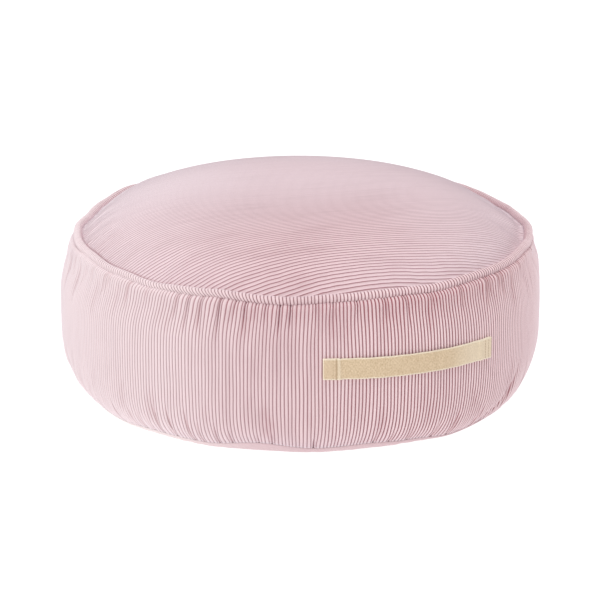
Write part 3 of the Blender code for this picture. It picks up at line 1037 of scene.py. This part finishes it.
def webbing_ribbon():
    """The handle as one folded ribbon."""
    left, right = ribbon_path()
    front = (right[:, 0] < half_strap - 0.001) & (right[:, 1] > GAP + 0.9 * STRAP_THICK)
    right[:, 1] -= dimple(right[:, 0]) * front
    path = np.concatenate([left, right])
    across = np.linspace(-0.5, 0.5, 13)
    along = path[:, 0][:, None] + 0 * across[None]
    clear = path[:, 1][:, None] + 0 * across[None]
    wave = 0.00012 * np.sin(along * 260) * np.sign(across)[None] * (np.abs(across) > 0.45)[None]
    grid = strap_place(along, STRAP_WIDTH * across[None] + wave, clear)
    rows, columns = along.shape
    index = np.arange(rows * columns).reshape(rows, columns)
    quads = np.stack([index[:-1, :-1], index[1:, :-1], index[1:, 1:], index[:-1, 1:]], -1)
    run = lengths_along(path)
    uv = np.stack([across[None] + 0.5 + 0 * along, run[:, None] / STRAP_WIDTH + 0 * along], -1)
    corners = uv.reshape(-1, 2)[quads.reshape(-1)]
    places, faces = grid.reshape(-1, 3).tolist(), quads.reshape(-1, 4).tolist()
    ribbon = make_piece("webbing_handle", places, faces, corners)
    select_only(ribbon)
    wall = ribbon.modifiers.new("webbing", "SOLIDIFY")
    wall.thickness = STRAP_THICK * 0.9
    wall.offset = 0
    bpy.ops.object.modifier_apply(modifier=wall.name)
    return ribbon, float(run[-1])


handle, webbing_length = webbing_ribbon()
print("webbing cut to", round(1000 * webbing_length), "mm")

# %% [markdown]
# ## Stitches
#
# Each end is sewn across with two rows of thick thread. One stitch is modelled from a
# sphere, drawn out to a bead with a point at each end, and copied to its places.

# %% Handle stitches
STITCH, STITCH_STEP = 0.0024, 0.0031
STITCH_WIDE, STITCH_DEEP, STITCH_SUNK = 0.00062, 0.0005, 0.00021


def one_stitch():
    """A single stitch along Z, with its flat side towards -Y."""
    bpy.ops.object.select_all(action="DESELECT")
    bpy.ops.mesh.primitive_uv_sphere_add(segments=8, ring_count=6, radius=0.5, location=(0, 0, 0))
    stitch = bpy.context.object
    bpy.ops.object.mode_set(mode="EDIT")
    bpy.ops.mesh.select_all(action="SELECT")
    bpy.ops.transform.resize(value=(STITCH_WIDE, STITCH_DEEP, STITCH))
    bpy.ops.object.mode_set(mode="OBJECT")
    return stitch


def sewn_rows():
    """All stitches of the handle as one piece."""
    pattern = one_stitch()
    shape = np.array([vertex.co[:] for vertex in pattern.data.vertices])
    faces = [tuple(face.vertices) for face in pattern.data.polygons]
    bpy.data.objects.remove(pattern)
    points, quads, corners = [], [], []
    for row in STITCH_ROWS:
        for place in np.arange(-0.5 * STRAP_WIDTH + 0.0021, 0.5 * STRAP_WIDTH - 0.001, STITCH_STEP):
            first = len(points)
            lean = 0.00008 * math.sin(place * 9000 + row * 700)
            middle = GAP + 1.95 * STRAP_THICK - STITCH_SUNK
            along = row + lean + shape[:, 0]
            points.extend(strap_place(along, place + shape[:, 2], middle + shape[:, 1]).tolist())
            for face in faces:
                quads.append(tuple(first + index for index in face))
                corners.extend((shape[index, 0] / 0.001, shape[index, 2] / STITCH) for index in face)
    return make_piece("handle_stitches", points, quads, corners)


stitches = sewn_rows()
print("stitches:", len(stitches.data.vertices) // 42)

# %% [markdown]
# ## Shader kit
#
# Finishes are easier to read as sums than as boxes and wires. A Wire wraps one socket, and
# each operator on it adds the Math node that does it. A Finish holds one material and
# has one method that adds any other node: its settings are made first, then its inputs.
# The methods after it are short forms of that one for the nodes used most.

# %% Shader kit


class Wire:
    """One output socket with arithmetic."""

    def __init__(self, finish, socket):
        self.finish, self.socket = finish, socket

    def maths(self, operation, *values):
        return self.finish.add("ShaderNodeMath", {"operation": operation}, dict(enumerate(values)))

    def own(self, operation):
        """What an operation makes of this value alone."""
        return self.maths(operation, self)

    def __add__(self, other):
        return self.maths("ADD", self, other)

    def __radd__(self, other):
        return self.maths("ADD", other, self)

    def __sub__(self, other):
        return self.maths("SUBTRACT", self, other)

    def __rsub__(self, other):
        return self.maths("SUBTRACT", other, self)

    def __mul__(self, other):
        return self.maths("MULTIPLY", self, other)

    def __rmul__(self, other):
        return self.maths("MULTIPLY", other, self)


class Finish:
    """One material and the nodes in it."""

    def __init__(self, name):
        self.material = bpy.data.materials.new(name)
        self.material.use_nodes = True
        self.tree = self.material.node_tree
        self.shader = self.tree.nodes["Principled BSDF"]

    def add(self, kind, settings=None, inputs=None, output=0):
        """Add a node, make its settings, then fill or wire its inputs."""
        node = self.tree.nodes.new(kind)
        for key, value in (settings or {}).items():
            setattr(node, key, value)
        for key, value in (inputs or {}).items():
            self.feed(node.inputs[key], value)
        return Wire(self, node.outputs[output])

    def feed(self, socket, value):
        """Give a socket a value, or wire it."""
        if isinstance(value, Wire):
            self.tree.links.new(value.socket, socket)
        else:
            socket.default_value = value

    def blend(self, factor, first, second):
        """Mix two colours."""
        settings = {"data_type": "RGBA", "clamp_factor": True}
        return self.add("ShaderNodeMix", settings, {0: factor, 6: first, 7: second}, 2)

    def soft_step(self, value, low, high):
        """0 below low, 1 above high, eased between."""
        settings = {"interpolation_type": "SMOOTHSTEP", "clamp": True}
        inputs = {"Value": value, 1: low, 2: high, 3: 0.0, 4: 1.0}
        return self.add("ShaderNodeMapRange", settings, inputs)

    def cloth(self):
        """The place across and along the cloth, from the piece's own UV map."""
        uv = self.add("ShaderNodeUVMap", {"uv_map": "cloth"})
        across = self.add("ShaderNodeSeparateXYZ", None, {0: uv})
        return across, Wire(self, across.socket.node.outputs[1])

    def place(self):
        """The place in space."""
        return self.add("ShaderNodeTexCoord", output="Object")

    def compare(self, operation, vector):
        """Distance to a point or dot product with a side, over the place in space."""
        inputs = {0: self.place(), 1: vector}
        return self.add("ShaderNodeVectorMath", {"operation": operation}, inputs, 1)

    def noise(self, vector, scale, detail):
        """Soft noise around 0.5."""
        inputs = {"Vector": vector, "Scale": scale, "Detail": detail}
        return self.add("ShaderNodeTexNoise", {"noise_dimensions": "3D"}, inputs)

    def grain(self, across, length, apart, detail=3.0):
        """Noise that follows the cloth, at these counts across and along it."""
        parts = dict(enumerate((across, length, apart)))
        return self.noise(self.add("ShaderNodeCombineXYZ", None, parts), 1.0, detail)

    def bump(self, strength, distance, height):
        """A relief too fine to model."""
        inputs = {"Strength": strength, "Distance": distance, "Height": height}
        return self.add("ShaderNodeBump", None, inputs)

    def wear(self, **values):
        """Fill or wire the sockets of the Principled shader by name, with _ for a space."""
        for key, value in values.items():
            self.feed(self.shader.inputs[key.replace("_", " ")], value)


def colour(red, green, blue):
    """A colour from its display values, 0 to 255."""
    shares = (red / 255, green / 255, blue / 255)
    linear = [s / 12.92 if s <= 0.04045 else ((s + 0.055) / 1.055) ** 2.4 for s in shares]
    return (*linear, 1.0)


print("shader kit ready")

# %% [markdown]
# ## Corduroy
#
# Corduroy is cut pile: the top of a wale shows the ends of the fibres and looks light and
# chalky, and the ground cloth in the groove is deeper in colour, here painted deeper still
# for the shade in the groove. The distance from the groove comes from U alone. Small noise
# along V breaks the pile into tufts, slower noise makes neighbouring wales differ and lets
# brushed areas show, and sheen gives the pale bloom at grazing angles. The side towards the
# left lamp is painted paler, a painted light, and the middle and far side of the top are
# painted paler too, a painted sheen. On the side away from the lamp the grooves are painted
# wider and deeper and the wale tops paler, painted shade and light. Where the crease
# attribute asks for it, in puckers, creases and under the piping, the ground is painted in
# its deepest colour, a painted shade.

# %% Corduroy finishes


def corduroy(name, top, groove, lit_tone, light_mask, shade_mask, sheen):
    """Cut-pile cloth whose wales follow the UV map; the two masks say where light and shade are
    painted.
    """
    finish = Finish(name)
    across, length = finish.cloth()
    centre = 1 - (across.own("FRACT") * 2 - 1).own("ABSOLUTE")
    tufts = finish.grain(across * 7, length * 2.6, 0.0)
    fibres = finish.grain(across * 26, length * 7.5, 3.0, 1.0)
    broad_tone = finish.grain(across * 0.45, length * 0.05, 7.0, 2.0)
    cloudy = finish.noise(finish.place(), 11.0, 3.0)
    # Painted shade and light away from the lamp: wider, deeper grooves and paler wale tops.
    shade_share = shade_mask(finish)
    raised = finish.soft_step(centre + (tufts - 0.5) * 0.12 - shade_share * 0.1, 0.1, 0.42)
    pile = finish.blend((tufts - 0.5) * 0.7 + (fibres - 0.5) * 0.55 + 0.4, top, PINK_BLOOM)
    pile = finish.blend((cloudy - 0.5) * 0.5 + (broad_tone - 0.5) * 0.7 + 0.05, pile, groove)
    # Painted light towards the left lamp, and painted sheen over the middle and far side of the top.
    light_share = light_mask(finish)
    pile = finish.blend(light_share * 0.45, pile, lit_tone)
    pile = finish.blend(shade_share * 0.5, pile, LIT_WALE_TOP)
    # Painted shade from the crease attribute: the deepest ground colour in creases, crevices and under
    # the piping.
    painted_shade = finish.add("ShaderNodeAttribute", {"attribute_name": "crease"}, None, 2)
    ground = finish.blend(shade_share, groove, SHADED_GROOVE)
    ground = finish.blend(painted_shade, ground, CREASE_SHADE)
    shade = finish.blend(raised * (1 - painted_shade * 0.6), ground, pile)
    shade = finish.blend(light_share * 0.22, shade, lit_tone)
    bump = finish.bump(0.35, 0.0006, raised * 0.5 + tufts * 0.35 + fibres * 0.35)
    finish.wear(Base_Color=shade, Roughness=0.86 + (tufts - 0.5) * 0.12, Normal=bump)
    finish.wear(Specular_IOR_Level=0.2, Sheen_Weight=sheen, Sheen_Roughness=0.5)
    finish.wear(Sheen_Tint=colour(246, 240, 250))
    return finish.material


# Places and sides where light, sheen and shade are painted on the cloth, then the painted tones.
LIT_SIDE = (-0.985, 0.17, 0.0)
TOP_FRONT = (-0.091, -0.178, 0.235)
TOP_FAR_SIDE = (-0.150, 0.170, 0.210)
TOP_RIGHT_SIDE = (0.080, -0.140, 0.215)
SHADED_SIDE = (0.342, -0.94, 0.0)
LIT_PINK = colour(242, 226, 228)
LIT_FAR_PINK = colour(249, 235, 240)
LIT_WALE_TOP = colour(245, 216, 218)
SHADED_GROOVE = colour(152, 98, 103)
CREASE_SHADE = colour(156, 76, 84)
# The groove colours are partly the deeper ground cloth and partly painted shade in the groove. The top
# has its own copy of the pink tones, with a deeper groove, tuned for how light falls on it.
TOP_PINK = colour(221, 191, 195)
TOP_GROOVE = colour(148, 102, 108)
PINK_TOP = colour(222, 194, 197)
PINK_GROOVE = colour(158, 114, 119)
PINK_BLOOM = colour(230, 205, 208)
PIPING_GROOVE = colour(138, 90, 96)


def painted_lit_side(finish):
    """Painted light: paler towards the side that faces the left lamp."""
    return finish.soft_step(finish.compare("DOT_PRODUCT", LIT_SIDE), 0.1, 0.26)


def shaded_side(finish):
    """Painted shade: 1 on the side of the band away from the left lamp, 0 elsewhere."""
    return finish.soft_step(finish.compare("DOT_PRODUCT", SHADED_SIDE), 0.17, 0.265)


def shaded_cord(finish):
    """The same painted shade, weaker on the piping."""
    return shaded_side(finish) * 0.55


def near(finish, point, low, high):
    """1 around a point, 0 away from it."""
    return 1 - finish.soft_step(finish.compare("DISTANCE", point), low, high)


def shaded_near_edge(finish):
    """A little painted shade towards the near edge of the top."""
    return near(finish, TOP_FRONT, 0.04, 0.22) * 0.15


def painted_sheen_on_top(finish):
    """Painted sheen: paler over the middle and the far side of the top, less on its right side."""
    away = finish.compare("DISTANCE", TOP_FRONT)
    broad_tone = finish.soft_step(away, 0.0, 0.26) * 0.9 + finish.soft_step(away, 0.3, 0.42) * 1.1
    broad_tone = broad_tone - near(finish, TOP_RIGHT_SIDE, 0.05, 0.16) * 0.25
    return broad_tone + near(finish, TOP_FAR_SIDE, 0.04, 0.20) * 0.65


band_tones = (PINK_TOP, PINK_GROOVE, LIT_PINK)
piping_tones = (PINK_TOP, PIPING_GROOVE, LIT_PINK)
top_tones = (TOP_PINK, TOP_GROOVE, LIT_FAR_PINK)
band_corduroy = corduroy("corduroy_of_band", *band_tones, painted_lit_side, shaded_side, 0.9)
piping_corduroy = corduroy("corduroy_of_piping", *piping_tones, painted_lit_side, shaded_cord, 0.6)
top_corduroy = corduroy("corduroy_of_top", *top_tones, painted_sheen_on_top, shaded_near_edge, 0.9)
print("corduroy mixed for the top, band and piping")

# %% [markdown]
# ## Plain base cloth
#
# The base cloth is a close plain weave: threads over and under each other. Two sets of
# waves crossed in the UV map give that grain, with slow noise for uneven dye. Towards the
# left lamp it is painted paler, a painted light.

# %% Base cloth
BASE_LIT = colour(244, 230, 230)


def plain_weave(name, light, dark, threads):
    """A plain woven cloth with this many threads to a wale width."""
    finish = Finish(name)
    across, length = finish.cloth()
    warp, weft = (way * (threads * 2 * math.pi) for way in (across, length))
    weave = warp.own("SINE") * weft.own("SINE") * 0.5 + 0.5
    cloudy = finish.noise(finish.place(), 14.0, 3.0)
    fuzz = finish.grain(across * 5, length * 5, 1.0)
    tone = weave * 0.45 + (cloudy - 0.5) * 0.5 + (fuzz - 0.5) * 0.5 + 0.25
    shade = finish.blend(tone, dark, light)
    # Painted light: paler towards the side the left lamp faces.
    shade = finish.blend(painted_lit_side(finish), shade, BASE_LIT)
    bump = finish.bump(0.3, 0.0003, weave + fuzz * 0.6)
    finish.wear(Base_Color=shade, Roughness=0.88 + (fuzz - 0.5) * 0.1, Normal=bump)
    finish.wear(Specular_IOR_Level=0.2, Sheen_Weight=0.15, Sheen_Roughness=0.5)
    return finish.material


base_cloth = plain_weave("plain_cloth_of_base", colour(226, 200, 204), colour(204, 173, 178), 3.0)
print("base cloth mixed")

# %% [markdown]
# ## Cotton webbing and thread
#
# Webbing is woven narrow, with a firm selvedge on each side. Fine ribs cross it, the weft
# threads, and lengthwise cords lie between them. Near the two edges the weave is tighter
# and paler. Over the doubled ends the cotton is a little darker. Along one stitch row it
# is painted darker, a painted shade in the groove the thread pulls in; the end of the hem
# beneath makes a ridge that is painted paler, a painted highlight; and towards one end the
# cotton is painted paler, a painted sheen.

# %% Webbing finish
WEBBING_PALE = colour(246, 234, 214)
WEBBING_HEM = colour(214, 188, 162)
WEBBING_GROOVE_SHADE = colour(172, 144, 116)
WEBBING_CORDS, WEBBING_PICKS = 11, 14
RUN_MIDDLE = 0.5 * webbing_length / STRAP_WIDTH
RUN_REACH = RUN_MIDDLE - HEM / STRAP_WIDTH
RUN_RIDGE = RUN_MIDDLE - RUN_REACH + HEM / STRAP_WIDTH
RUN_PRESSED = RUN_MIDDLE - RUN_REACH + 0.0146 / STRAP_WIDTH


def woven_webbing(name, light, dark):
    """Narrow cotton webbing that follows its own UV map."""
    finish = Finish(name)
    across, length = finish.cloth()
    from_edge = across.maths("MINIMUM", across, 1 - across)
    selvedge = 1 - finish.soft_step(from_edge, 0.03, 0.075)
    from_fold = RUN_REACH - (length - RUN_MIDDLE).own("ABSOLUTE")
    folded = 1 - finish.soft_step(from_fold, 0.03, 0.08)
    hem = 1 - finish.soft_step(from_fold, 0.56, 0.66)
    # Painted sheen: paler towards one end.
    end_sheen = finish.soft_step(length, RUN_MIDDLE + 0.30 * RUN_REACH, RUN_MIDDLE + 0.75 * RUN_REACH)
    cords = across * (WEBBING_CORDS * 2 * math.pi)
    picks = length * (WEBBING_PICKS * 2 * math.pi) + (across * WEBBING_CORDS).own("FLOOR") * math.pi
    weave = cords.own("SINE") * picks.own("SINE") * 0.5 + 0.5
    grain = finish.grain(across * 13, length * 13, 9.0)
    slub = finish.grain(across * 9, length * 30, 2.0)
    cloudy = finish.grain(across * 2, length * 3, 5.0, 2.0)
    mottle = (grain - 0.5) * 1.7 + (slub - 0.5) * 0.9 + (cloudy - 0.5) * 0.4
    shade = finish.blend(weave * 0.5 + mottle + 0.2, dark, light)
    shade = finish.blend(hem * 0.35, shade, WEBBING_HEM)
    shade = finish.blend(end_sheen * 0.35, shade, WEBBING_PALE)
    shade = finish.blend(selvedge * 0.6 + folded * 0.8, shade, WEBBING_PALE)
    # Painted highlight on the ridge over the end of the hem, and painted shade in the groove of one
    # stitch row.
    ridge = 1 - finish.soft_step((length - RUN_RIDGE).own("ABSOLUTE"), 0.03, 0.09)
    sunk = 1 - finish.soft_step((length - RUN_PRESSED).own("ABSOLUTE"), 0.02, 0.055)
    shade = finish.blend(ridge * 0.3, shade, WEBBING_PALE)
    shade = finish.blend(sunk * 0.6, shade, WEBBING_GROOVE_SHADE)
    bump = finish.bump(0.5, 0.0004, weave * 0.8 + grain * 0.8 + slub * 0.4 + selvedge * 0.6)
    finish.wear(Base_Color=shade, Roughness=0.8 + (slub - 0.5) * 0.15, Normal=bump)
    finish.wear(Specular_IOR_Level=0.25, Sheen_Weight=0.1, Sheen_Roughness=0.5)
    return finish.material


def spun_thread(name, light, dark):
    """Twisted sewing thread."""
    finish = Finish(name)
    across, length = finish.cloth()
    strand = (across * 4 + length * 16).own("SINE") * 0.5 + 0.5
    bump = finish.bump(0.3, 0.0001, strand)
    shade = finish.blend(strand, dark, light)
    finish.wear(Base_Color=shade, Roughness=0.6 + strand * 0.1, Normal=bump)
    return finish.material


webbing = woven_webbing("cotton_webbing", colour(233, 210, 181), colour(190, 164, 131))
thread = spun_thread("sewing_thread", colour(204, 180, 148), colour(158, 134, 104))
print("webbing and thread mixed")

# %% [markdown]
# ## Dress the pieces
#
# Each piece wears one of the part's finishes, and the frame node it stands for is hidden.
# The three panels make one padded cushion, and the handle is a sheet of cotton webbing.

# %% Dress the pieces
DRESS = (
    # piece, material, slot, node
    (crown, top_corduroy, "top_corduroy", "top_panel"),
    (band, band_corduroy, "band_corduroy", "side_band"),
    (base, base_cloth, "base_cloth", "base_panel"),
    (piping, piping_corduroy, "piping_corduroy", "top_piping"),
    (handle, webbing, "cotton_webbing", "carry_handle"),
)
for piece, material, slot, node in DRESS:
    piece.data.materials.append(material)
    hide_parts(node)
stitches.data.materials.append(thread)
print("dressed", len(DRESS) + 1, "pieces")

# %% [markdown]
# ## Camera, floor and light
#
# The pouf is seen from a little above and from the left of its handle, through a long
# lens that keeps the ellipses calm. It stands on a pale floor in a white room. A large
# soft lamp on the left and a dim one overhead give the wales their shape without a hard
# shadow. The floor glows a little, as a white sheet under studio light does.

# %% Camera, floor and light
AIM = Vector((0, 0, 0.12))
AWAY = 3.1
AZIMUTH, ELEVATION = math.radians(-27), math.radians(17.7)
FOCAL_LENGTH, RISE = 158.5, -0.0238
ROOM_LIGHT, FLOOR_GLOW, FLOOR_GREY = 0.62, 0.91, 0.25


def set_camera():
    """A long lens on the left of the handle, a little above the pouf."""
    lens = bpy.data.cameras.new("camera")
    lens.sensor_width = 36
    lens.lens = FOCAL_LENGTH
    lens.shift_y = RISE
    camera = bpy.data.objects.new("camera", lens)
    level = math.cos(ELEVATION)
    back = Vector((math.sin(AZIMUTH) * level, -math.cos(AZIMUTH) * level, math.sin(ELEVATION)))
    camera.location = AIM + back * AWAY
    camera.rotation_mode = "QUATERNION"
    camera.rotation_quaternion = (-back).to_track_quat("-Z", "Y")
    bpy.context.scene.collection.objects.link(camera)
    bpy.context.scene.camera = camera


def soft_lamp(name, place, size, power, tint):
    """A square lamp that faces the pouf."""
    light = bpy.data.lights.new(name, "AREA")
    light.size = size
    light.energy = power
    light.color = tint
    lamp = bpy.data.objects.new(name, light)
    lamp.location = place
    lamp.rotation_mode = "QUATERNION"
    lamp.rotation_quaternion = (Vector(place) - AIM).to_track_quat("Z", "Y")
    bpy.context.scene.collection.objects.link(lamp)


def set_room():
    """White surroundings and a pale floor."""
    world = bpy.data.worlds.new("room")
    world.use_nodes = True
    sky = world.node_tree.nodes["Background"].inputs
    sky["Color"].default_value = (1, 1, 1, 1)
    sky["Strength"].default_value = ROOM_LIGHT
    bpy.context.scene.world = world
    bpy.ops.object.select_all(action="DESELECT")
    bpy.ops.mesh.primitive_plane_add(size=30, location=(0, 0, 0))
    floor = bpy.context.object
    floor.name = "pale_floor"
    paper = Finish("white_paper")
    paper.wear(Base_Color=(*[FLOOR_GREY] * 3, 1), Roughness=0.9, Specular_IOR_Level=0.1)
    paper.wear(Emission_Color=(1, 1, 1, 1), Emission_Strength=FLOOR_GLOW)
    floor.data.materials.append(paper.material)
    bpy.context.scene.view_settings.view_transform = "Standard"


set_camera()
set_room()
soft_lamp("left_softbox", (-1.9, -1.3, 0.8), 1.8, 13, (0.92, 1.0, 0.97))
soft_lamp("overhead_softbox", (0.0, -0.4, 2.6), 2.0, 35, (1.0, 1.0, 1.0))
print("camera, floor and lamps set")

# %% End
print("the scene is built")
